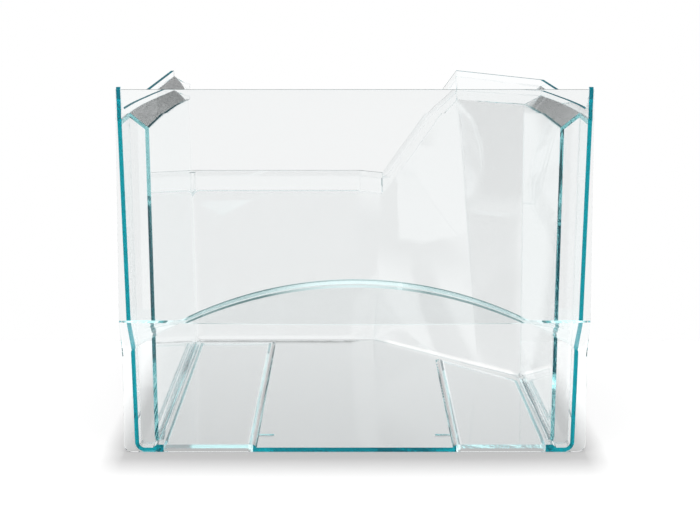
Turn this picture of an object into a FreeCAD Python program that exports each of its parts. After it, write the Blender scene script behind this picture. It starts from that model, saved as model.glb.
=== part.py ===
# Clear moulded crisper drawer: an open-fronted bin closed by a front with a recessed finger pull.
# Built in millimetres with the front plane at y 0, the back at +y and the base at z 0,
# then moved so that the origin is the centre of the base.
import FreeCAD, Part
import math
import os
import Sketcher

V = FreeCAD.Vector

SIZES = [
    # Front
    ("front_width", 240.0),
    ("front_height", 189.4),
    ("front_wall", 2.2),
    ("recess", 14.0),
    ("pull_half", 85.0),
    ("arch_radius", 206.0),
    ("arch_apex", 88.8),
    ("roof_wall", 2.0),
    ("lip_fall", 0.55),
    ("lip_droop", 0.75),
    ("foot_radius", 4.0),
    ("bead", 0.35),
    ("bead_height", 12.0),
    # Bin walls: how far they stand in from the front's sides, and their brow below its top
    ("bin_wall", 2.1),
    ("floor_wall", 2.0),
    ("mouth_foot_inset", 5.8),
    ("mouth_rise", 1.0),
    ("step_foot", 28.0),
    ("step_brow", 40.5),
    ("tub_foot_inset", 14.9),
    ("tub_brow_inset", 10.8),
    ("toe_in", 3.3),
    ("brow_drop", 23.7),
    ("foot_round", 3.0),
    # Faceted back: how far its folds stand forward of its flat part
    ("drawer_depth", 335.5),
    ("back_ledge", 9.5),
    ("back_lean", 4.5),
    ("corner_round", 5.0),
    ("fold_foot_across", -2.0),
    ("fold_brow_across", 7.5),
    ("turn_foot_across", 14.0),
    ("turn_foot_inset", 1.0),
    ("turn_brow_across", 21.5),
    ("turn_brow_inset", 23.0),
    ("ramp_foot_across", 78.0),
    ("ramp_foot_inset", 90.5),
    ("ramp_brow_across", 68.0),
    ("ramp_brow_inset", 3.0),
    ("corner_foot_inset", 122.5),
    ("corner_brow_inset", 87.0),
    # Ledge and rim
    ("ledge_rise", 8.0),
    ("ledge_lift", 1.0),
    ("rim_inset", 0.6),
    ("rim_rise", 4.6),
    ("turn_ledge", 12.0),
    ("ramp_ledge", 8.5),
    ("ramp_ledge_shift", 1.0),
    ("side_rim_inset", 7.5),
    ("crown_end", 5.5),
    ("crown_run", 20.0),
    # Low part of the back
    ("low_drop", 66.0),
    ("corner_strip", 1.8),
    # Floor
    ("channel_half", 51.0),
    ("plateau_rise", 1.6),
    ("plateau_back_inset", 19.5),
    ("plateau_ramp_inset", 73.5),
    ("plateau_corner_inset", 138.5),
    ("plateau_taper", 50.0),
    ("plateau_skin", 2.8),
    ("plateau_foot", 5.6),
    ("slot_length", 8.0),
    ("slot_width", 3.0),
    ("slot_depth", 43.5),
    # Clearance between the two mouldings where the ledge slopes
    ("seat_gap", 0.3),
]

# Room that cutting forms are given past what they cut
AROUND = 20.0
LEAN_OVER = 40.0
BEYOND = 1.0
INWARD = 5.0
TOUCH = 0.001
SLANT_STEPS = 4
PLANE_TURNS = {
    "XY": FreeCAD.Rotation(),
    "XZ": FreeCAD.Rotation(V(1, 0, 0), V(0, 0, 1), V(0, -1, 0)),
    "YZ": FreeCAD.Rotation(V(0, 1, 0), V(0, 0, 1), V(1, 0, 0)),
}
PLANE_OFFSETS = {"XY": "z", "XZ": "y", "YZ": "x"}


class Size:
    """A length held twice: as the text of an expression on the sheet and as its value now."""

    def __init__(self, text, value):
        self.text = text
        self.value = value

    def __add__(self, other):
        other = as_size(other)
        return Size(f"({self.text} + {other.text})", self.value + other.value)

    def __sub__(self, other):
        other = as_size(other)
        return Size(f"({self.text} - {other.text})", self.value - other.value)

    def __mul__(self, other):
        other = as_size(other)
        return Size(f"({self.text} * {other.text})", self.value * other.value)

    def __truediv__(self, other):
        other = as_size(other)
        return Size(f"({self.text} / {other.text})", self.value / other.value)

    def __neg__(self):
        return Size(f"(-1 * {self.text})", -self.value)

    def root(self):
        return Size(f"sqrt({self.text})", self.value ** 0.5)


def as_size(number):
    return number if isinstance(number, Size) else Size(str(float(number)), float(number))


def between(low, high, share):
    """The size a share of the way from low to high."""
    return low + (high - low) * share


def make_sheet(doc):
    """The driving sizes as one alias each, and the same names as sizes for the sketches."""
    sheet = doc.addObject("Spreadsheet::Sheet", "dims")
    names = {}
    for row, (name, value) in enumerate(SIZES, start=1):
        sheet.set(f"A{row}", name)
        sheet.set(f"B{row}", str(value))
        sheet.setAlias(f"B{row}", name)
        names[name] = Size(f"dims.{name}", value)
    doc.recompute()
    return names


def add_lines(size):
    """Half widths, heights and depths that follow from the front, the pull and the depth."""
    half = size["front_width"] / 2
    for edge in ("mouth_foot", "tub_foot", "tub_brow", "rim"):
        size[f"{edge}_half"] = half - size[f"{edge}_inset"]
    pull_end = arch_height(size["pull_half"], size["arch_apex"], size["arch_radius"])
    size["lip_height"] = pull_end + size["lip_fall"]
    size["brow_height"] = size["front_height"] - size["brow_drop"]
    size["back_brow"] = size["drawer_depth"] - size["back_ledge"]
    size["back_foot"] = size["back_brow"] - size["back_lean"]
    for edge in ("turn", "ramp", "corner"):
        for level in ("foot", "brow"):
            inset_there = size[f"{edge}_{level}_inset"]
            size[f"{edge}_{level}_depth"] = size[f"back_{level}"] - inset_there
    for edge in ("turn", "ramp"):
        size[f"rim_{edge}_depth"] = size[f"{edge}_brow_depth"] + size[f"{edge}_ledge"]
    size["rim_ramp_across"] = size["ramp_brow_across"] - size["ramp_ledge_shift"]
    size["side_rim_end"] = size["drawer_depth"] - size["side_rim_inset"]
    for edge in ("back", "ramp", "corner"):
        size[f"plateau_{edge}"] = size["back_foot"] - size[f"plateau_{edge}_inset"]


def bind(thing, prop, size):
    thing.setExpression(prop, as_size(size).text)


def arc_between(start, end, radius, bulge):
    """The arc from start to end that bulges to the left of the way along for +1 and right for -1."""
    chord = end - start
    left = V(-chord.y, chord.x, 0).normalize()
    reach = (radius ** 2 - chord.Length ** 2 / 4) ** 0.5
    centre = start + chord * 0.5 - left * (reach * bulge)
    first, last = (end, start) if bulge > 0 else (start, end)
    from_angle = math.atan2(first.y - centre.y, first.x - centre.x)
    to_angle = math.atan2(last.y - centre.y, last.x - centre.x)
    if to_angle < from_angle:
        to_angle += 2 * math.pi
    return Part.ArcOfCircle(Part.Circle(centre, V(0, 0, 1), radius), from_angle, to_angle)


def draw(sketch, corners, arcs=None):
    """A closed outline through corners. arcs gives edge number: (radius, bulge) where an edge is round."""
    arcs = arcs or {}
    points = [V(as_size(x).value, as_size(y).value, 0) for x, y in corners]
    count = len(points)
    tips = {}
    for i in range(count):
        start, end = points[i], points[(i + 1) % count]
        if i in arcs:
            radius, bulge = arcs[i]
            sketch.addGeometry(arc_between(start, end, radius.value, bulge), False)
            # a round edge is stored anticlockwise, so one that turns clockwise has its ends swapped
            tips[i] = (1, 2) if bulge < 0 else (2, 1)
        else:
            sketch.addGeometry(Part.LineSegment(start, end), False)
            tips[i] = (1, 2)
    for i in range(count):
        after = (i + 1) % count
        sketch.addConstraint(Sketcher.Constraint("Coincident", i, tips[i][1], after, tips[after][0]))
    for i, (across, up) in enumerate(corners):
        for kind, size in (("DistanceX", across), ("DistanceY", up)):
            size = as_size(size)
            index = sketch.addConstraint(
                Sketcher.Constraint(kind, -1, 1, i, tips[i][0], size.value)
            )
            bind(sketch, f"Constraints[{index}]", size)
    for i, (radius, _) in arcs.items():
        index = sketch.addConstraint(Sketcher.Constraint("Radius", i, radius.value))
        bind(sketch, f"Constraints[{index}]", radius)


def outline(doc, name, plane, offset, corners, arcs=None):
    """A sketch on a plane parallel to two axes, at an offset along the third."""
    sketch = doc.addObject("Sketcher::SketchObject", name)
    sketch.Placement = FreeCAD.Placement(V(), PLANE_TURNS[plane])
    bind(sketch, f"Placement.Base.{PLANE_OFFSETS[plane]}", offset)
    draw(sketch, corners, arcs)
    return sketch


def inset(doc, name, source, wall, lift):
    """The outline moved inward by one wall and raised."""
    ring = doc.addObject("Part::Offset2D", name)
    ring.Source = source
    ring.Join = "Intersection"
    ring.Mode = "Pipe"
    ring.Fill = False
    bind(ring, "Value", -wall)
    bind(ring, "Placement.Base.z", lift)
    return ring


def loft(doc, name, sections):
    made = doc.addObject("Part::Loft", name)
    made.Sections = sections
    made.Solid = True
    made.Ruled = True
    return made


def round_foot(doc, name, form, level, radius):
    """The form with its lowest edges rounded along its flat side walls and back."""
    doc.recompute()
    low = []
    for number, edge in enumerate(form.Shape.Edges, start=1):
        faces = form.Shape.ancestorsOfType(edge, Part.Face)
        flat = all(face.findPlane() for face in faces)
        at_foot = all(abs(tip.Z - level.value) < TOUCH for tip in edge.Vertexes)
        in_front = all(tip.Y < 0 for tip in edge.Vertexes)
        if flat and at_foot and not in_front:
            low.append((number, radius.value, radius.value))
    made = doc.addObject("Part::Fillet", name)
    made.Base = form
    made.Edges = low
    return made


def extrude(doc, name, source, direction, length, taper=None):
    made = doc.addObject("Part::Extrusion", name)
    made.Base = source
    made.DirMode = "Custom"
    made.Dir = direction
    made.Solid = True
    bind(made, "LengthFwd", length)
    if taper:
        bind(made, "TaperAngle", taper)
    return made


def fuse(doc, name, shapes):
    made = doc.addObject("Part::MultiFuse", name)
    made.Shapes = shapes
    made.Refine = True
    return made


def cut(doc, name, base, tool):
    made = doc.addObject("Part::Cut", name)
    made.Base = base
    made.Tool = tool
    made.Refine = True
    return made


def arch_height(across, apex, radius):
    """Height of the arch at a distance from the middle."""
    return apex - radius + (radius * radius - across * across).root()


def face_sketch(body, name, depth, corners, arcs=None):
    """A sketch of the front's body on a plane parallel to the front plane."""
    sketch = body.newObject("Sketcher::SketchObject", name)
    plane = [feature for feature in body.Origin.OriginFeatures if feature.Role == "XZ_Plane"][0]
    sketch.AttachmentSupport = (plane, [""])
    sketch.MapMode = "FlatFace"
    bind(sketch, "AttachmentOffset.Base.z", -as_size(depth))
    draw(sketch, corners, arcs)
    return sketch


def pad(body, name, sketch, length):
    made = body.newObject("PartDesign::Pad", name)
    made.Profile = sketch
    made.Reversed = True
    bind(made, "Length", length)
    return made


def above_arch(half, top, side, pull, end):
    """Corners of the area above the finger pull's arch, from the top left round to the top right."""
    return [(-half, top), (-half, side), (-pull, end), (pull, end), (half, side), (half, top)]


def make_front(doc, size):
    """The front: a tall upper face, and below it a lower face set back under an arched finger pull."""
    half = size["front_width"] / 2
    top = size["front_height"]
    wall = size["front_wall"]
    recess = size["recess"]
    pull = size["pull_half"]
    radius = size["arch_radius"]
    apex = size["arch_apex"]
    lip = size["lip_height"]
    end = arch_height(pull, apex, radius)
    side = arch_height(half, apex, radius)
    body = doc.addObject("PartDesign::Body", "front_panel")

    # upper face, whose lower edge droops a little in the middle
    droop = size["lip_droop"]
    lip_radius = (pull * pull + droop * droop) / (droop * 2)
    corners = above_arch(half, top, lip, pull, end)
    face = face_sketch(body, "upper_outline", 0, corners, {2: (lip_radius, -1)})
    pad(body, "upper_face", face, wall)

    # block behind it down to the arch: its lower side makes the ledges and the pull's roof
    ledge_front = face_sketch(body, "ledge_front", 0, corners, {2: (radius, 1)})
    rounds = {1: (radius, 1), 2: (radius, 1), 3: (radius, 1)}
    ledge_back = face_sketch(
        body, "ledge_back", recess, above_arch(half, top, side, pull, end), rounds
    )
    slope_loft(body, "PartDesign::AdditiveLoft", "ledge_block", ledge_front, ledge_back)

    # lower face down to the base, with rounded feet
    foot = size["foot_radius"]
    lower = [
        (-half, top),
        (-half, foot),
        (foot - half, 0),
        (half - foot, 0),
        (half, foot),
        (half, top),
    ]
    lower_outline = face_sketch(
        body, "lower_outline", recess, lower, {1: (foot, -1), 3: (foot, -1)}
    )
    pad(body, "lower_face", lower_outline, wall)

    # hollow of the same form, one wall further back and up, which leaves a shell open at both sides
    inner = inner_arch(size)
    wide = half + BEYOND
    inner_end = arch_height(pull, inner["apex"], inner["radius"])
    inner_side = arch_height(wide, inner["apex"], inner["radius"])
    hollow_front = face_sketch(
        body,
        "hollow_front",
        wall,
        above_arch(wide, top + BEYOND, inner["lip"], pull, inner_end),
        {2: (inner["radius"], 1)},
    )
    inner_rounds = {edge: (inner["radius"], 1) for edge in rounds}
    hollow_back = face_sketch(
        body,
        "hollow_back",
        recess + wall,
        above_arch(wide, top + BEYOND, inner_side, pull, inner_end),
        inner_rounds,
    )
    slope_loft(body, "PartDesign::SubtractiveLoft", "hollow", hollow_front, hollow_back)
    add_bead(body, size)
    return body


def slope_loft(body, kind, name, near, far):
    made = body.newObject(kind, name)
    made.Profile = near
    made.Sections = [far]
    made.Ruled = True
    return made


def inner_arch(size):
    """The arch and lip of the front's inner skin, with the wall kept at the ends of the ledges."""
    half = size["front_width"] / 2
    side = arch_height(half, size["arch_apex"], size["arch_radius"])
    lean = size["recess"] / (size["lip_height"] - side)
    half_turn = ((lean * lean + 1).root() - 1) / lean
    skin = size["front_wall"] * half_turn
    apex = size["arch_apex"] + size["roof_wall"]
    drop = apex - (side + skin)
    return {
        "apex": apex,
        "radius": (half * half + drop * drop) / (drop * 2),
        "lip": size["lip_height"] + skin,
    }


def add_bead(body, size):
    """The upper face thickens towards its top edge, between the bin's side walls."""
    wall = size["front_wall"]
    top = size["front_height"]
    bead = size["bead"]
    rise = size["bead_height"]
    reach = mouth_half(size, top - rise) - size["bin_wall"] - size["seat_gap"]
    sketch = body.newObject("Sketcher::SketchObject", "bead_outline")
    plane = [feature for feature in body.Origin.OriginFeatures if feature.Role == "YZ_Plane"][0]
    sketch.AttachmentSupport = (plane, [""])
    sketch.MapMode = "FlatFace"
    bind(sketch, "AttachmentOffset.Base.z", -reach)
    bead_radius = (rise * rise + bead * bead) / (bead * 2)
    corners = [(wall, top), (wall, top - rise), (wall + bead, top)]
    draw(sketch, corners, {1: (bead_radius, 1)})
    made = body.newObject("PartDesign::Pad", "top_bead")
    made.Profile = sketch
    bind(made, "Length", reach * 2)


def mouth_half(size, height):
    """Half the width outside the mouth's side walls, which lean out from the base to the rim."""
    share = height / rim_top(size)
    return between(size["mouth_foot_half"], size["rim_half"], share)


def rim_top(size):
    return size["brow_height"] + size["ledge_rise"] + size["rim_rise"]


def right_side(size, half, depth):
    """Across to the right side wall, which runs in a little towards the back."""
    run = size["corner_brow_depth"] - size["step_brow"]
    return half - size["toe_in"] * ((as_size(depth) - size["step_brow"]) / run)


def tub_outline(doc, size, name, height, half, back, fold, turn, ramp, corner_depth):
    """The bin's outline at one height: straight sides, flat back, and the facets to its right."""
    radius = size["corner_round"] + size["bin_wall"]
    corners = [
        (-half, -AROUND),
        (-half, back - radius),
        (radius - half, back),
        (fold, back),
        turn,
        ramp,
        (right_side(size, half, corner_depth), corner_depth),
        (half, size["step_brow"]),
        (half, -AROUND),
    ]
    return outline(doc, name, "XY", height, corners, {1: (radius, 1)})


def mouth_outline(doc, size, name, height):
    """The wider part between the front and the step in the side walls."""
    half = mouth_half(size, height)
    step = between(size["step_foot"], size["step_brow"], height / size["brow_height"])
    back = step + size["bin_wall"]
    corners = [(-half, -AROUND), (-half, back), (half, back), (half, -AROUND)]
    return outline(doc, name, "XY", height, corners)


def make_shell(doc, size):
    """The bin before its back is cut down: outer forms less the same forms one wall further in."""
    wall = size["bin_wall"]
    floor = size["floor_wall"]
    lift = size["ledge_lift"]
    brow = size["brow_height"]
    ledge = brow + size["ledge_rise"]
    up = V(0, 0, 1)

    foot_line = tub_outline(
        doc, size, "foot_line", 0, size["tub_foot_half"], size["back_foot"],
        size["fold_foot_across"], (size["turn_foot_across"], size["turn_foot_depth"]),
        (size["ramp_foot_across"], size["ramp_foot_depth"]), size["corner_foot_depth"],
    )
    brow_line = tub_outline(
        doc, size, "brow_line", brow, size["tub_brow_half"], size["back_brow"],
        size["fold_brow_across"], (size["turn_brow_across"], size["turn_brow_depth"]),
        (size["ramp_brow_across"], size["ramp_brow_depth"]), size["corner_brow_depth"],
    )
    rim_line = tub_outline(
        doc, size, "rim_line", ledge, size["rim_half"], size["drawer_depth"],
        size["fold_brow_across"], (size["turn_brow_across"], size["rim_turn_depth"]),
        (size["rim_ramp_across"], size["rim_ramp_depth"]), size["corner_brow_depth"],
    )
    mouth_top = size["front_height"] + size["mouth_rise"]
    mouth_foot = mouth_outline(doc, size, "mouth_foot_line", as_size(0))
    mouth_brow = mouth_outline(doc, size, "mouth_top_line", mouth_top)

    outer = fuse(doc, "outer_forms", [
        loft(doc, "tub_form", [foot_line, brow_line]),
        loft(doc, "ledge_form", [brow_line, rim_line]),
        extrude(doc, "rim_form", rim_line, up, size["rim_rise"]),
        loft(doc, "mouth_form", [mouth_foot, mouth_brow]),
    ])
    outer_round = size["foot_round"] + wall
    rounded = round_foot(doc, "round_outer_forms", outer, as_size(0), outer_round)

    foot_in = inset(doc, "foot_inside", foot_line, wall, floor)
    brow_in = inset(doc, "brow_inside", brow_line, wall, lift)
    rim_in = inset(doc, "rim_inside", rim_line, wall, lift)
    mouth_in = inset(doc, "mouth_inside", mouth_foot, wall, floor)
    mouth_top_in = inset(doc, "mouth_top_inside", mouth_brow, wall, floor)
    inner = fuse(doc, "inner_forms", [
        loft(doc, "tub_hollow", [foot_in, brow_in]),
        loft(doc, "ledge_hollow", [brow_in, rim_in]),
        extrude(doc, "rim_hollow", rim_in, up, AROUND),
        loft(doc, "mouth_hollow", [mouth_in, mouth_top_in]),
    ])
    hollow = round_foot(doc, "round_inner_forms", inner, floor, size["foot_round"])
    return cut(doc, "shell", rounded, hollow), hollow


def on_wall(size, edge, height):
    """Where one edge of the back's facets is at a height: across and depth."""
    share = height / size["brow_height"]
    return [
        between(size[f"{edge}_foot_{way}"], size[f"{edge}_brow_{way}"], share)
        for way in ("across", "depth")
    ]


def brim_sections(doc, size, name, left, corners_at):
    """Outlines across the low brim from left to right: along the flat back, then up the slant."""
    brow = size["brow_height"]
    low = brow - size["low_drop"]
    back = between(size["back_foot"], size["back_brow"], low / brow)
    fold = between(size["fold_foot_across"], size["fold_brow_across"], low / brow)
    turn, turn_depth = on_wall(size, "turn", low)
    turn_rim = size["rim_turn_depth"] + (turn_depth - size["turn_brow_depth"])
    sections = [
        (-left, back, size["drawer_depth"], low),
        (fold, back, size["drawer_depth"], low),
        (turn, turn_depth, turn_rim, low),
    ]
    end = size["rim_ramp_across"]
    for step in range(1, SLANT_STEPS + 1):
        share = step / SLANT_STEPS
        across = between(turn, end, share)
        height = between(low, brow, share)
        near, near_depth = on_wall(size, "turn", height)
        far, far_depth = on_wall(size, "ramp", height)
        depth = between(near_depth, far_depth, (across - near) / (far - near))
        rim_depth = between(turn_rim, size["rim_ramp_depth"], share)
        sections.append((across, depth, rim_depth, height))
    made = []
    for number, (across, wall_depth, rim_depth, height) in enumerate(sections):
        corners = corners_at(size, wall_depth, rim_depth, height)
        made.append(outline(doc, f"{name}_{number}", "YZ", across, corners))
    return made


def low_half(size):
    """Half the width outside the wall at the height of the low brim."""
    share = (size["brow_height"] - size["low_drop"]) / size["brow_height"]
    return between(size["tub_foot_half"], size["tub_brow_half"], share)


def ledge_lines(size, wall_depth, rim_depth, height):
    """The ledge's underside carried inward, and how much higher its upper side is."""
    slope = size["ledge_rise"] / (rim_depth - wall_depth)
    inner_depth = wall_depth - INWARD
    under = height - slope * INWARD
    thick = size["ledge_lift"] + slope * size["bin_wall"]
    return inner_depth, under, thick


def brim_corners(size, wall_depth, rim_depth, height):
    """Section of the ledge and rim."""
    inner_depth, under, thick = ledge_lines(size, wall_depth, rim_depth, height)
    rim_foot = height + size["ledge_rise"]
    top = rim_foot + size["rim_rise"]
    rim_face = rim_depth - size["bin_wall"]
    return [
        (inner_depth, under),
        (rim_depth, rim_foot),
        (rim_depth, top),
        (rim_face, top),
        (rim_face, rim_foot + size["ledge_lift"]),
        (inner_depth, under + thick),
    ]


def above_brim_corners(size, wall_depth, rim_depth, height):
    """Section of the space above the ledge and rim, as far as anything reaches."""
    inner_depth, under, thick = ledge_lines(size, wall_depth, rim_depth, height)
    rim_foot = height + size["ledge_rise"]
    top = rim_foot + size["rim_rise"]
    rim_face = rim_depth - size["bin_wall"]
    far = size["drawer_depth"] + AROUND
    ceiling = rim_top(size) + AROUND
    return [
        (inner_depth, under + thick),
        (rim_face, rim_foot + size["ledge_lift"]),
        (rim_face, top),
        (far, top),
        (far, ceiling),
        (inner_depth - LEAN_OVER, ceiling),
    ]


def block(doc, name, low, high):
    """A box between two opposite corners."""
    box = doc.addObject("Part::Box", name)
    for axis, prop, start, end in zip("xyz", ("Length", "Width", "Height"), low, high):
        start = as_size(start)
        bind(box, f"Placement.Base.{axis}", start)
        bind(box, prop, as_size(end) - start)
    return box


def plateau_outlines(size, margin, side_margin):
    """Outlines of the raised parts of the floor, from the channel to the walls, less margins."""
    near = size["channel_half"] + margin
    half = size["tub_foot_half"] - side_margin
    left_back = size["plateau_back"] - margin
    ramp = size["plateau_ramp"] - margin
    corner = size["plateau_corner"] - margin
    left = [(-half, -AROUND), (-half, left_back), (-near, left_back), (-near, -AROUND)]
    right = [
        (near, -AROUND),
        (near, ramp),
        (right_side(size, half, corner), corner),
        (half, size["step_brow"]),
        (half, -AROUND),
    ]
    return {"left": left, "right": right}


def make_plateaus(doc, size):
    """The two raised parts of the floor: their upper sides, and the hollows under them."""
    groups = []
    for role, height, margin, side_margin in (
        ("plateau", size["floor_wall"], as_size(0), as_size(0)),
        ("hollow_under", as_size(0), size["plateau_skin"], size["plateau_foot"]),
    ):
        made = []
        for side, corners in plateau_outlines(size, margin, side_margin).items():
            base = outline(doc, f"{side}_{role}_outline", "XY", height, corners)
            made.append(
                extrude(
                    doc, f"{side}_{role}", base, V(0, 0, 1), size["plateau_rise"],
                    -size["plateau_taper"],
                )
            )
        groups.append(made)
    return groups


def make_slots(doc, size):
    """A short slot through the floor beside each plateau, near the front."""
    outer = size["channel_half"]
    inner = outer - size["slot_length"]
    near = size["slot_depth"]
    far = near + size["slot_width"]
    top = size["floor_wall"] + BEYOND
    return [
        block(doc, "left_slot", (-outer, near, -BEYOND), (-inner, far, top)),
        block(doc, "right_slot", (inner, near, -BEYOND), (outer, far, top)),
    ]


def make_front_room(doc, size):
    """All the room in front of the bin: before the upper face's back, and under the sloping ledge."""
    wide = size["front_width"] / 2 + BEYOND
    wall = size["front_wall"]
    gap = size["seat_gap"]
    inner = inner_arch(size)
    side = arch_height(wide, inner["apex"], inner["radius"]) + gap
    lip = inner["lip"] + gap
    near = [(-wide, -AROUND), (-wide, lip), (wide, lip), (wide, -AROUND)]
    far = [(-wide, -AROUND), (-wide, side), (wide, side), (wide, -AROUND)]
    room = [
        outline(doc, "ledge_room_front", "XZ", wall, near),
        outline(
            doc, "ledge_room_back", "XZ", size["recess"] + wall, far, {1: (inner["radius"], 1)}
        ),
    ]
    return [
        block(
            doc, "room_before_face", (-wide, -(AROUND + BEYOND), -AROUND),
            (wide, wall, rim_top(size) + AROUND),
        ),
        loft(doc, "room_under_ledge", room),
    ]


def make_top_room(doc, size):
    """The room over the mouth's side walls, which fall in a curve from the front to the rim."""
    start = size["crown_end"]
    end = size["crown_run"]
    high = size["front_height"] + size["mouth_rise"]
    low = rim_top(size)
    run = end - start
    drop = high - low
    radius = (run * run + drop * drop) / (drop * 2)
    far = size["drawer_depth"] + AROUND
    ceiling = high + AROUND
    corners = [(start, ceiling), (start, high), (end, low), (far, low), (far, ceiling)]
    reach = size["front_width"] / 2 + BEYOND
    profile = outline(doc, "mouth_top_profile", "YZ", -reach, corners, {1: (radius, -1)})
    return extrude(doc, "room_over_mouth", profile, V(1, 0, 0), reach * 2)


def make_room_beside_wall(doc, size):
    """The room behind the left wall's inner face, down to the low rim."""
    floor = size["floor_wall"]
    high = size["brow_height"] + size["ledge_lift"]
    low = rim_top(size) - size["low_drop"]
    foot = size["tub_foot_half"] - size["bin_wall"]
    brow = size["tub_brow_half"] - size["bin_wall"]
    low_inside = between(foot, brow, (low - floor) / (high - floor))
    ceiling = rim_top(size) + AROUND
    corners = [(-low_inside, low), (-brow, high), (-brow, ceiling), (0, ceiling), (0, low)]
    start = size["back_foot"] - AROUND
    profile = outline(doc, "back_opening", "XZ", start, corners)
    return extrude(
        doc, "room_beside_left_wall", profile, V(0, 1, 0), size["drawer_depth"] - start + AROUND
    )


def make_bin(doc, size):
    """The open bin: tub, mouth, ledge and rim, with the low slanting part of its back."""
    shell, inner = make_shell(doc, size)
    left = low_half(size)
    brim_form = loft(
        doc, "low_brim_form", brim_sections(doc, size, "low_brim", left, brim_corners)
    )
    brim = cut(doc, "low_brim", brim_form, inner)
    above = loft(
        doc,
        "room_above_brim",
        brim_sections(
            doc, size, "above_brim", left - size["bin_wall"] - size["corner_strip"],
            above_brim_corners,
        ),
    )
    low_rim = rim_top(size) - size["low_drop"]
    behind = block(
        doc,
        "room_behind_left_rim",
        (-(size["rim_half"] + BEYOND), size["side_rim_end"], low_rim),
        (0, size["drawer_depth"] + AROUND, rim_top(size) + BEYOND),
    )
    plateaus, hollows = make_plateaus(doc, size)
    added = fuse(doc, "bin_with_brim", [shell, brim] + plateaus)
    rooms = [above, behind, make_room_beside_wall(doc, size), make_top_room(doc, size)]
    rooms += hollows + make_slots(doc, size) + make_front_room(doc, size)
    removed = fuse(doc, "bin_rooms", rooms)
    return cut(doc, "bin", added, removed)


def check(doc, parts):
    for thing in doc.Objects:
        if "Invalid" in thing.State or "Error" in thing.State:
            raise RuntimeError(f"{thing.Name} did not rebuild: {thing.State}")
    for name, part in parts.items():
        if part.Shape.isNull() or not part.Shape.isValid() or len(part.Shape.Solids) != 1:
            raise RuntimeError(f"{name} is not one valid solid")


def main():
    doc = FreeCAD.newDocument("crisper_drawer")
    size = make_sheet(doc)
    add_lines(size)
    parts = {"front_panel": make_front(doc, size), "bin": make_bin(doc, size)}
    for name, part in parts.items():
        part.Label = name
        bind(part, "Placement.Base.y", -(size["drawer_depth"] / 2))
    doc.recompute()
    check(doc, parts)
    os.makedirs("parts", exist_ok=True)
    for name, part in parts.items():
        part.Shape.exportStep(f"parts/{name}.step")
        box = part.Shape.BoundBox
        print(f"{name}: {box}, volume {part.Shape.Volume:.0f}")


main()
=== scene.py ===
import math

import bpy
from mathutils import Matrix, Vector


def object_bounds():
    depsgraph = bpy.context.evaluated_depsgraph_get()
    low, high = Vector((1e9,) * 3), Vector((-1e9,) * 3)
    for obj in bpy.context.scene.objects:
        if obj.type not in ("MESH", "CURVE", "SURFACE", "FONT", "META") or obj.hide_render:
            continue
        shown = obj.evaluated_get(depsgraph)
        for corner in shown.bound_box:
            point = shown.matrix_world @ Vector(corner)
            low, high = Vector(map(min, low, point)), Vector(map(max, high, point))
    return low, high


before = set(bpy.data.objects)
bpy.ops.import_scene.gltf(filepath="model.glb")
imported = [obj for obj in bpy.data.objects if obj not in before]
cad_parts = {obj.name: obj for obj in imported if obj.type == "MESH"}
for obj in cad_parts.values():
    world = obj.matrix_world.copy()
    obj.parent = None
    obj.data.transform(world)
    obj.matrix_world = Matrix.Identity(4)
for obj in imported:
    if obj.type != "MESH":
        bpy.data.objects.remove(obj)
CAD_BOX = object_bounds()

bl_info = {
    "name": "Clear crisper drawer",
    "version": (1, 0, 0),
    "blender": (4, 5, 0),
    "location": "View3D > Sidebar > Drawer",
    "description": "Finishes the clear moulded crisper drawer and sets its studio stage and camera",
    "category": "Object",
}

MM = 0.001
PHOTO_WIDTH = 700
WHITE = "#FFFFFF"
OVER = "GREATER_THAN"
UNDER = "LESS_THAN"

FRONT_FACE = CAD_BOX[0][1]
BACK_EDGE = CAD_BOX[1][1]

# The places below carry painted light: a painted teal glow and painted shade on the bonded ends and
# rims, a painted pale glow on the floor's hollow ends, a painted highlight on its radii, and a
# painted pale teal glow on the front's roof
# The bin's bonded ends of walls and floor: where they begin and stop behind the front's face
ENDS_BEGIN = FRONT_FACE + 2.1 * MM
ENDS_STOP = FRONT_FACE + 20 * MM
# The floor is hollow underneath between its middle channel and its corners
CHANNEL_HALF = 53 * MM
CORNER_HALF = 99.5 * MM
FLOOR_TOP = 6 * MM
# The rims are all that lies level over this height
RIM_LEVEL = 120 * MM
# The moulded radii of the floor lie within these planes
RADII_TOP = 3.7 * MM
RADII_HALF = 97 * MM
RADII_BACK = 140 * MM
# The front's roof over the finger recess lies between these heights
ROOF_LOW = 30 * MM
ROOF_HIGH = 120 * MM

# How a skin faces, by the share of its normal along an axis
FACES_FRONT = 0.3
LIES_LEVEL = 0.95
LIES_ALMOST_LEVEL = 0.93
LIES_SLOPING = 0.6

# Slow waves in the polished skins
WAVE_LENGTH = 60 * MM
WAVE_HEIGHT = 0.2 * MM
WAVE_STRENGTH = 0.1

# Points of the front's mesh within this reach are one point
WELD_REACH = 0.002 * MM

# The paper's own colour, and how bright it shines: evenly to the camera, and with painted light to
# looks through the plastic, dimmer under the front than under the back, and beside the foot
PAPER_COLOUR = "#F4F4F4"
PAPER_LIFT = 0.35
PAPER_PAINTED_LIGHT_UNDER_FRONT = 0.52
PAPER_PAINTED_LIGHT_UNDER_BACK = 0.75
PAPER_PAINTED_LIGHT_BESIDE = 0.5

# The sheet of paper, and how far it reaches from the drawer's middle and ahead of its front
PAPER_DROP = 0.1 * MM
PAPER_REACH = 600 * MM
PAPER_AHEAD = 150 * MM
# The foot is the bin's underside. The sheet ends along its rear edge, from the right side to the
# middle, and each corner is given by how far right it lies and how far in front of that edge
FOOT_HALF = 112 * MM
FOOT_INSET = 14 * MM
FOOT_CORNERS = (
    (112 * MM, 0 * MM), (112 * MM, 122.5 * MM), (78 * MM, 90.5 * MM), (14 * MM, 1 * MM),
    (-2 * MM, 0 * MM),
)

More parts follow.
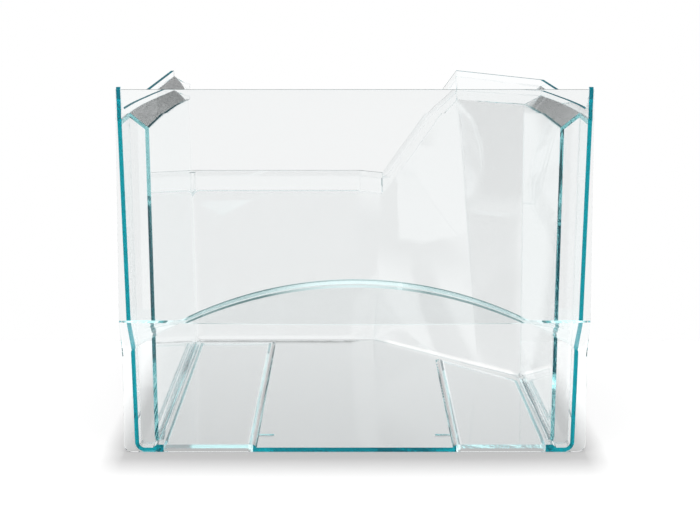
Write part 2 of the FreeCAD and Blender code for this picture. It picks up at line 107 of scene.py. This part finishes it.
# The studio. A way up or sideways is a share of a direction of length 1, so 0 up is the horizon
SOFT_LIGHT = 0.34
DARK_LEVEL = 0.08
BACKDROP_LEVEL = 1.0
CEILING_LEVEL = 0.95
TABLE_LEVEL = 0.85
BACKDROP_FADES = (0.02, 0.0)
CEILING_BEHIND_FADES = (0.13, 0.17)
CEILING_FADES = (0.25, 0.55)
TABLE_FADES = (-0.3, -0.42)
BEHIND_FADES = (-0.25, 0.0)
WINDOW_LEFT_OF = -0.09
WINDOW_AHEAD_OF = -0.3
WINDOW_FOOT = -0.06

# The soft box hangs high over the drawer and a little behind its middle
LAMP_PLACE = (0, 0.23, 4.0)
LAMP_WIDTH = 0.3
LAMP_LENGTH = 0.85
LAMP_WATTS = 90

# Light in the walls runs on through many mirror images
LONG_PATH = 64
SOFT_PATH = 4


def linear(hex_colour):
    """An sRGB colour such as #AABBCC as linear red, green, blue and an alpha of 1."""
    shares = [int(hex_colour[i:i + 2], 16) / 255 for i in (1, 3, 5)]
    return [s / 12.92 if s <= 0.04045 else ((s + 0.055) / 1.055) ** 2.4 for s in shares] + [1.0]


def add_node(tree, kind, settings=None, values=None, links=None):
    """Adds a shader node with its settings, its sockets' values and the sockets that feed it."""
    node = tree.nodes.new(kind)
    for name, value in (settings or {}).items():
        setattr(node, name, value)
    for socket, value in (values or {}).items():
        node.inputs[socket].default_value = value
    for socket, source in (links or {}).items():
        tree.links.new(source, node.inputs[socket])
    return node


def mask_where(tree, *limits):
    """1 where every limit holds and 0 elsewhere. A limit is a socket, a side and a number."""
    mask = None
    for source, side, number in limits:
        held = add_node(
            tree, "ShaderNodeMath", settings={"operation": side}, values={1: number},
            links={0: source},
        )
        if mask is not None:
            held = add_node(
                tree, "ShaderNodeMath", settings={"operation": "MULTIPLY"},
                links={0: mask, 1: held.outputs[0]},
            )
        mask = held.outputs[0]
    return mask


def new_material(name):
    material = bpy.data.materials.new(name)
    material.use_nodes = True
    material.node_tree.nodes.clear()
    return material, material.node_tree


class DrawerFinish(bpy.types.PropertyGroup):
    """The clear plastic of both mouldings, and the painted glow, highlight and shade laid on it."""

    tint: bpy.props.FloatVectorProperty(
        name="Tint",
        description="Colour that light turns after a long way through the plastic",
        subtype="COLOR",
        size=4,
        min=0.0,
        max=1.0,
        default=linear("#5AD1D4"),
    )
    bin_density: bpy.props.FloatProperty(
        name="Tint density of the bin",
        description="How strongly the tint takes light on its way, for each metre",
        default=5.0,
        min=0.0,
    )
    front_density: bpy.props.FloatProperty(
        name="Tint density of the front",
        description="How strongly the tint takes light on its way, for each metre",
        default=10.0,
        min=0.0,
    )
    refraction: bpy.props.FloatProperty(
        name="Refraction",
        description="Index of refraction of the clear plastic",
        default=1.57,
        min=1.0,
        max=2.5,
    )
    # Painted glow: each pass through the bin's skin adds a faint light, standing in for light that
    # runs inside the walls
    bin_painted_glow: bpy.props.FloatProperty(
        name="Stray light of the bin",
        description="How much light each pass through the bin's skin adds to a path",
        default=0.008,
        min=0.0,
    )
    # Painted glow: each pass through the front's skin adds a faint light, standing in for light that
    # runs inside the walls
    front_painted_glow: bpy.props.FloatProperty(
        name="Stray light of the front",
        description="How much light each pass through the front's skin adds to a path",
        default=0.0025,
        min=0.0,
    )
    # The plastic's teal seen along its length, darkened by painted shade at the bonded ends and rim
    # tops
    end_tint_and_painted_shade: bpy.props.FloatVectorProperty(
        name="End tint",
        description="Colour that light takes where it passes a solid end of a wall or of the floor",
        subtype="COLOR",
        size=4,
        min=0.0,
        max=1.0,
        default=linear("#004E58"),
    )
    # Painted light: the teal glow at the bonded ends and rim tops, its colour and how bright it is
    painted_end_light_colour: bpy.props.FloatVectorProperty(
        name="End colour",
        description="Colour of the piped light at the solid ends of walls and floor",
        subtype="COLOR",
        size=4,
        min=0.0,
        max=1.0,
        default=linear("#0A8496"),
    )
    painted_end_glow: bpy.props.FloatProperty(
        name="End glow",
        description="How bright the piped light leaves the solid ends of walls and floor",
        default=0.4,
        min=0.0,
    )
    # Painted light: the pale glow at the floor's hollow ends, also the colour of the painted
    # highlight on its radii
    painted_pale_light_colour: bpy.props.FloatVectorProperty(
        name="Pale colour",
        description="Colour of the light at the floor's hollow ends and moulded radii",
        subtype="COLOR",
        size=4,
        min=0.0,
        max=1.0,
        default=linear("#FFF4F2"),
    )
    painted_hollow_glow: bpy.props.FloatProperty(
        name="Hollow glow",
        description="How bright the floor's ends are where it is hollow underneath",
        default=0.4,
        min=0.0,
    )
    # Painted highlight: a pale glow along the moulded radii of the floor
    painted_radius_highlight: bpy.props.FloatProperty(
        name="Radius glow",
        description="How bright the moulded radii of the floor are",
        default=0.1,
        min=0.0,
    )
    # Painted light: the pale teal glow on the front's roof over the finger recess, its colour and
    # how bright it is
    painted_roof_light_colour: bpy.props.FloatVectorProperty(
        name="Roof colour",
        description="Colour of the piped light at the roof over the finger recess",
        subtype="COLOR",
        size=4,
        min=0.0,
        max=1.0,
        default=linear("#A9DADC"),
    )
    painted_roof_glow: bpy.props.FloatProperty(
        name="Roof glow",
        description="How bright the piped light leaves the roof over the finger recess",
        default=0.3,
        min=0.0,
    )
    seam_gap: bpy.props.FloatProperty(
        name="Seam gap",
        description="How far the front's skin stands in from its solid, which parts it from the bin",
        default=0.03 * MM,
        unit="LENGTH",
    )


class DrawerStage(bpy.types.PropertyGroup):
    """The camera of the photo."""

    camera_distance: bpy.props.FloatProperty(
        name="Camera distance",
        description="Level distance from the camera to the front's face",
        default=1068.7 * MM,
        unit="LENGTH",
    )
    camera_height: bpy.props.FloatProperty(
        name="Camera height",
        description="Height of the camera over the floor",
        default=265.9 * MM,
        unit="LENGTH",
    )
    camera_across: bpy.props.FloatProperty(
        name="Camera across",
        description="How far right of the drawer's middle the camera stands",
        default=-1.9 * MM,
        unit="LENGTH",
    )
    camera_pitch: bpy.props.FloatProperty(
        name="Camera pitch",
        description="How far below level the camera looks",
        default=math.radians(8.725),
        subtype="ANGLE",
    )
    focal_pixels: bpy.props.FloatProperty(
        name="Focal length in pixels",
        description="Focal length as pixels of a picture 700 pixels wide",
        default=2134.0,
    )


def bin_painted_light_masks(tree):
    """Masks for where the bin's painted light goes: its solid ends and rims, its hollow ends and its
    floor's radii.
    """
    skin = add_node(tree, "ShaderNodeNewGeometry")
    place = add_node(tree, "ShaderNodeSeparateXYZ", links={"Vector": skin.outputs["Position"]})
    turn = add_node(tree, "ShaderNodeSeparateXYZ", links={"Vector": skin.outputs["True Normal"]})
    back = place.outputs["Y"]
    up = place.outputs["Z"]
    sizes = []
    for signed in (place.outputs["X"], turn.outputs["Y"], turn.outputs["Z"]):
        size = add_node(
            tree, "ShaderNodeMath", settings={"operation": "ABSOLUTE"}, links={0: signed}
        )
        sizes.append(size.outputs[0])
    from_middle, faces_front, lies_level = sizes
    ends = mask_where(
        tree, (faces_front, OVER, FACES_FRONT), (back, OVER, ENDS_BEGIN), (back, UNDER, ENDS_STOP)
    )
    hollow_ends = mask_where(
        tree, (ends, OVER, 0.5), (from_middle, OVER, CHANNEL_HALF),
        (from_middle, UNDER, CORNER_HALF), (up, UNDER, FLOOR_TOP),
    )
    radii = mask_where(
        tree, (lies_level, UNDER, LIES_ALMOST_LEVEL), (back, OVER, ENDS_STOP),
        (back, UNDER, RADII_BACK), (up, UNDER, RADII_TOP), (from_middle, UNDER, RADII_HALF),
    )
    rims = mask_where(tree, (turn.outputs["Z"], OVER, LIES_LEVEL), (up, OVER, RIM_LEVEL))
    solid_ends = add_node(
        tree, "ShaderNodeMath", settings={"operation": "SUBTRACT"},
        links={0: ends, 1: hollow_ends},
    )
    ends_and_rims = add_node(
        tree, "ShaderNodeMath", settings={"operation": "MAXIMUM"},
        links={0: solid_ends.outputs[0], 1: rims},
    )
    return ends_and_rims.outputs[0], hollow_ends, radii


def roof_painted_glow_mask(tree):
    """A mask for the painted glow on the front's arched roof over the finger recess."""
    skin = add_node(tree, "ShaderNodeNewGeometry")
    place = add_node(tree, "ShaderNodeSeparateXYZ", links={"Vector": skin.outputs["Position"]})
    turn = add_node(tree, "ShaderNodeSeparateXYZ", links={"Vector": skin.outputs["True Normal"]})
    up = place.outputs["Z"]
    return mask_where(
        tree, (turn.outputs["Z"], OVER, LIES_SLOPING), (up, UNDER, ROOF_HIGH), (up, OVER, ROOF_LOW)
    )


def moulded_plastic(name, finish, density):
    """Clear colourless plastic with slow waves in its skin and a tint inside it."""
    material, tree = new_material(name)
    place = add_node(tree, "ShaderNodeTexCoord")
    flow = add_node(
        tree, "ShaderNodeTexNoise",
        values={"Scale": 1 / WAVE_LENGTH, "Detail": 1.0, "Roughness": 0.4},
        links={"Vector": place.outputs["Object"]},
    )
    waves = add_node(
        tree, "ShaderNodeBump",
        values={"Strength": WAVE_STRENGTH, "Distance": WAVE_HEIGHT},
        links={"Height": flow.outputs["Fac"]},
    )
    surface = add_node(
        tree, "ShaderNodeBsdfPrincipled",
        values={
            "Base Color": linear(WHITE),
            "Transmission Weight": 1.0,
            "IOR": finish.refraction,
            "Roughness": 0.0,
        },
        links={"Normal": waves.outputs["Normal"]},
    )
    inside = add_node(
        tree, "ShaderNodeVolumeAbsorption", values={"Color": finish.tint, "Density": density}
    )
    add_node(
        tree, "ShaderNodeOutputMaterial",
        links={"Surface": surface.outputs[0], "Volume": inside.outputs[0]},
    )
    return material, tree, surface


def bin_polystyrene(finish):
    """Crystal polystyrene, injection moulded in a polished mould.

    To the eye: clear and colourless face on, with sharp mirror images, and teal wherever light runs
    a long way inside it. The bonded ends of the walls and the tops of the rims are dark teal: the
    plastic's teal darkened by painted shade, under a painted teal glow. The floor's hollow ends glow
    with painted pale light, its moulded radii carry a painted highlight, and all of its skin adds a
    faint painted glow.
    """
    material, tree, surface = moulded_plastic(
        "clear_polystyrene_bin", finish, finish.bin_density
    )
    ends, hollow_ends, radii = bin_painted_light_masks(tree)
    # Light through the bonded ends and rim tops takes a dark teal: the plastic's teal with painted
    # shade
    passed_colour_and_painted_shade = add_node(
        tree, "ShaderNodeMix", settings={"data_type": "RGBA"},
        values={6: linear(WHITE), 7: finish.end_tint_and_painted_shade}, links={0: ends},
    )
    pale = add_node(
        tree, "ShaderNodeMath", settings={"operation": "MAXIMUM"}, links={0: hollow_ends, 1: radii}
    )
    # Painted light: the ends and rims glow teal, the hollow ends glow pale, the radii carry a pale
    # painted highlight, and all the skin adds a faint painted glow
    painted_glow_colour = add_node(
        tree, "ShaderNodeMix", settings={"data_type": "RGBA"},
        values={6: finish.painted_end_light_colour, 7: finish.painted_pale_light_colour}, links={0: pale.outputs[0]},
    )
    glow = None
    for mask, strength in (
        (ends, finish.painted_end_glow), (hollow_ends, finish.painted_hollow_glow), (radii, finish.painted_radius_highlight)
    ):
        added = add_node(
            tree, "ShaderNodeMath", settings={"operation": "MULTIPLY_ADD"},
            values={1: strength, 2: finish.bin_painted_glow}, links={0: mask},
        )
        if glow is not None:
            tree.links.new(glow, added.inputs[2])
        glow = added.outputs[0]
    tree.links.new(passed_colour_and_painted_shade.outputs[2], surface.inputs["Base Color"])
    tree.links.new(painted_glow_colour.outputs[2], surface.inputs["Emission Color"])
    tree.links.new(glow, surface.inputs["Emission Strength"])
    return material


def front_polystyrene(finish):
    """Crystal polystyrene, injection moulded in a polished mould.

    To the eye: clear and colourless face on, with sharp mirror images. The arched roof over the
    finger recess is a pale teal band, seen along its length, given by a painted pale teal glow. All
    of the skin adds a faint painted glow.
    """
    material, tree, surface = moulded_plastic(
        "clear_polystyrene_front", finish, finish.front_density
    )
    # Painted light: the roof glows pale teal and all the skin adds a faint painted glow
    surface.inputs["Emission Color"].default_value = finish.painted_roof_light_colour
    glow = add_node(
        tree, "ShaderNodeMath", settings={"operation": "MULTIPLY_ADD"},
        values={1: finish.painted_roof_glow, 2: finish.front_painted_glow}, links={0: roof_painted_glow_mask(tree)},
    )
    tree.links.new(glow.outputs[0], surface.inputs["Emission Strength"])
    return material


class DRAWER_OT_mouldings(bpy.types.Operator):
    """Give the bin and the front their clear plastic with its painted glow, highlight and shade, and
    part their skins at the seam
    """

    bl_idname = "drawer.mouldings"
    bl_label = "Finish the mouldings"

    def execute(self, context):
        finish = context.scene.drawer_finish
        plastics = {"bin": bin_polystyrene(finish), "front_panel": front_polystyrene(finish)}
        for name, plastic in plastics.items():
            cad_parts[name].data.materials.clear()
            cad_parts[name].data.materials.append(plastic)
        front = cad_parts["front_panel"]
        front.modifiers.new("closed_skin", "WELD").merge_threshold = WELD_REACH
        skin = front.modifiers.new("seam_gap", "DISPLACE")
        skin.mid_level = 0.0
        skin.strength = -finish.seam_gap
        return {"FINISHED"}


def paper_shine(tree, path):
    """How bright the paper shines: evenly to the camera, and with painted light to looks through the
    plastic, dimmer under the drawer's front than under its back.
    """
    skin = add_node(tree, "ShaderNodeNewGeometry")
    place = add_node(tree, "ShaderNodeSeparateXYZ", links={"Vector": skin.outputs["Position"]})
    from_middle = add_node(
        tree, "ShaderNodeMath", settings={"operation": "ABSOLUTE"}, links={0: place.outputs["X"]}
    )
    # Painted light: under the drawer, seen through the plastic, the paper glows dimmer under the
    # front and brighter under the back
    below = add_node(
        tree, "ShaderNodeMapRange",
        values={
            "From Min": FRONT_FACE, "From Max": BACK_EDGE,
            "To Min": PAPER_PAINTED_LIGHT_UNDER_FRONT, "To Max": PAPER_PAINTED_LIGHT_UNDER_BACK,
        },
        links={"Value": place.outputs["Y"]},
    )
    # Painted light beside the foot, seen through the plastic, at a set level
    painted_light_through_plastic = add_node(
        tree, "ShaderNodeMix", values={3: PAPER_PAINTED_LIGHT_BESIDE},
        links={0: mask_where(tree, (from_middle.outputs[0], OVER, FOOT_HALF)), 2: below.outputs[0]},
    )
    direct = add_node(
        tree, "ShaderNodeMath", settings={"operation": "MULTIPLY"}, values={1: PAPER_LIFT},
        links={0: path.outputs["Is Camera Ray"]},
    )
    shine = add_node(
        tree, "ShaderNodeMath", settings={"operation": "MULTIPLY_ADD"},
        links={
            0: path.outputs["Is Transmission Ray"], 1: painted_light_through_plastic.outputs[0],
            2: direct.outputs[0],
        },
    )
    return shine.outputs[0]


def matt_white_paper():
    """Matt white paper that the drawer stands on.

    To the eye: pure white, with the drawer's soft contact shadow. Seen through the plastic it glows
    with painted light, dimmer under the drawer's front. Mirror images don't show it.
    """
    material, tree = new_material("matt_white_paper")
    path = add_node(tree, "ShaderNodeLightPath")
    sheet = add_node(
        tree, "ShaderNodeBsdfDiffuse", values={"Color": linear(PAPER_COLOUR), "Roughness": 0.5}
    )
    lift = add_node(
        tree, "ShaderNodeEmission", values={"Color": linear(WHITE)},
        links={"Strength": paper_shine(tree, path)},
    )
    paper = add_node(tree, "ShaderNodeAddShader", links={0: sheet.outputs[0], 1: lift.outputs[0]})
    nothing = add_node(tree, "ShaderNodeBsdfTransparent")
    mirrored = mask_where(tree, (path.outputs["Glossy Depth"], OVER, 0.5))
    seen = add_node(
        tree, "ShaderNodeMixShader", links={0: mirrored, 1: paper.outputs[0], 2: nothing.outputs[0]}
    )
    add_node(tree, "ShaderNodeOutputMaterial", links={"Surface": seen.outputs[0]})
    return material


def studio_in_mirror(tree):
    """How bright the studio is in mirror images, by direction.

    Behind the drawer stands a white backdrop, with a dark band and a lit ceiling over it. Overhead
    the ceiling goes all round, and so does the table down below. A window stands at the left of the
    camera. The rest is dark.
    """
    place = add_node(tree, "ShaderNodeTexCoord")
    way = add_node(tree, "ShaderNodeSeparateXYZ", links={"Vector": place.outputs["Generated"]})
    up = way.outputs["Z"]
    behind = add_node(
        tree, "ShaderNodeMapRange",
        values={
            "From Min": BEHIND_FADES[0], "From Max": BEHIND_FADES[1], "To Min": 0.0, "To Max": 1.0
        },
        links={"Value": way.outputs["Y"]},
    )
    lit = mask_where(
        tree, (way.outputs["X"], UNDER, WINDOW_LEFT_OF), (way.outputs["Y"], UNDER, WINDOW_AHEAD_OF),
        (up, OVER, WINDOW_FOOT),
    )
    for level, (dark, bright), only_behind in (
        (BACKDROP_LEVEL, BACKDROP_FADES, True), (CEILING_LEVEL, CEILING_BEHIND_FADES, True),
        (CEILING_LEVEL, CEILING_FADES, False), (TABLE_LEVEL, TABLE_FADES, False),
    ):
        wall = add_node(
            tree, "ShaderNodeMapRange",
            values={"From Min": dark, "From Max": bright, "To Min": 0.0, "To Max": level},
            links={"Value": up},
        )
        if only_behind:
            wall = add_node(
                tree, "ShaderNodeMath", settings={"operation": "MULTIPLY"},
                links={0: wall.outputs[0], 1: behind.outputs[0]},
            )
        brighter = add_node(
            tree, "ShaderNodeMath", settings={"operation": "MAXIMUM"},
            links={0: lit, 1: wall.outputs[0]},
        )
        lit = brighter.outputs[0]
    room = add_node(
        tree, "ShaderNodeMath", settings={"operation": "MAXIMUM"}, values={1: DARK_LEVEL},
        links={0: lit},
    )
    return room.outputs[0]


def make_world(scene):
    """White for the camera and for straight looks through the plastic, and soft light all round."""
    world = bpy.data.worlds.new("white_studio")
    scene.world = world
    world.use_nodes = True
    tree = world.node_tree
    tree.nodes.clear()
    path = add_node(tree, "ShaderNodeLightPath")
    unseen = add_node(
        tree, "ShaderNodeMix", values={3: SOFT_LIGHT},
        links={0: path.outputs["Is Diffuse Ray"], 2: studio_in_mirror(tree)},
    )
    straight = mask_where(
        tree, (path.outputs["Is Transmission Ray"], OVER, 0.5),
        (path.outputs["Glossy Depth"], UNDER, 0.5),
    )
    seen = add_node(
        tree, "ShaderNodeMath", settings={"operation": "MAXIMUM"},
        links={0: path.outputs["Is Camera Ray"], 1: straight},
    )
    strength = add_node(
        tree, "ShaderNodeMix", values={3: 1.0}, links={0: seen.outputs[0], 2: unseen.outputs[0]}
    )
    sky = add_node(
        tree, "ShaderNodeBackground", values={"Color": linear(WHITE)},
        links={"Strength": strength.outputs[0]},
    )
    add_node(tree, "ShaderNodeOutputWorld", links={"Surface": sky.outputs[0]})


def lay_paper(scene):
    """A flat sheet that ends under the drawer's rear edge. Behind it the world is as white."""
    near = FRONT_FACE - PAPER_AHEAD
    far = BACK_EDGE - FOOT_INSET
    outline = [(-PAPER_REACH, near), (PAPER_REACH, near), (PAPER_REACH, far)]
    outline += [(right, far - ahead) for right, ahead in FOOT_CORNERS]
    outline.append((-PAPER_REACH, far))
    corners = [(right, back, -PAPER_DROP) for right, back in outline]
    mesh = bpy.data.meshes.new("studio_floor")
    mesh.from_pydata(corners, [], [tuple(range(len(corners)))])
    mesh.materials.append(matt_white_paper())
    floor = bpy.data.objects.new("studio_floor", mesh)
    scene.collection.objects.link(floor)


def hang_softbox(scene):
    """A long soft box overhead, which gives the contact shadow and isn't mirrored itself."""
    lamp = bpy.data.lights.new("high_softbox", "AREA")
    lamp.shape = "RECTANGLE"
    lamp.size = LAMP_WIDTH
    lamp.size_y = LAMP_LENGTH
    lamp.energy = LAMP_WATTS
    box = bpy.data.objects.new("high_softbox", lamp)
    scene.collection.objects.link(box)
    box.location = LAMP_PLACE
    box.rotation_euler = (-Vector(LAMP_PLACE)).to_track_quat("-Z", "Y").to_euler()
    box.visible_transmission = False
    box.visible_glossy = False


def set_light_paths(scene):
    scene.cycles.max_bounces = LONG_PATH
    scene.cycles.transmission_bounces = LONG_PATH
    scene.cycles.glossy_bounces = LONG_PATH
    scene.cycles.diffuse_bounces = SOFT_PATH
    scene.cycles.caustics_refractive = False
    scene.cycles.caustics_reflective = False


def place_camera(scene):
    settings = scene.drawer_stage
    lens = bpy.data.cameras.new("photo_camera")
    lens.sensor_fit = "HORIZONTAL"
    lens.lens = lens.sensor_width * settings.focal_pixels / PHOTO_WIDTH
    lens.shift_x = -1 / PHOTO_WIDTH
    camera = bpy.data.objects.new("photo_camera", lens)
    scene.collection.objects.link(camera)
    camera.location = (
        settings.camera_across, FRONT_FACE - settings.camera_distance, settings.camera_height
    )
    camera.rotation_euler = (math.pi / 2 - settings.camera_pitch, 0, 0)
    scene.camera = camera


class DRAWER_OT_stage(bpy.types.Operator):
    """Set the paper, the lights and the camera"""

    bl_idname = "drawer.stage"
    bl_label = "Set the stage"

    def execute(self, context):
        scene = context.scene
        scene.view_settings.view_transform = "Standard"
        set_light_paths(scene)
        lay_paper(scene)
        make_world(scene)
        hang_softbox(scene)
        place_camera(scene)
        return {"FINISHED"}


class DRAWER_PT_panel(bpy.types.Panel):
    bl_label = "Clear drawer"
    bl_idname = "DRAWER_PT_panel"
    bl_space_type = "VIEW_3D"
    bl_region_type = "UI"
    bl_category = "Drawer"

    def draw(self, context):
        for group in (context.scene.drawer_finish, context.scene.drawer_stage):
            for name in group.__annotations__:
                self.layout.prop(group, name)
        self.layout.operator("drawer.mouldings")
        self.layout.operator("drawer.stage")


CLASSES = (DrawerFinish, DrawerStage, DRAWER_OT_mouldings, DRAWER_OT_stage, DRAWER_PT_panel)


def register():
    for cls in CLASSES:
        bpy.utils.register_class(cls)
    bpy.types.Scene.drawer_finish = bpy.props.PointerProperty(type=DrawerFinish)
    bpy.types.Scene.drawer_stage = bpy.props.PointerProperty(type=DrawerStage)


def unregister():
    del bpy.types.Scene.drawer_stage
    del bpy.types.Scene.drawer_finish
    for cls in reversed(CLASSES):
        bpy.utils.unregister_class(cls)


def main():
    register()
    bpy.ops.drawer.mouldings()
    bpy.ops.drawer.stage()


if __name__ == "__main__":
    main()
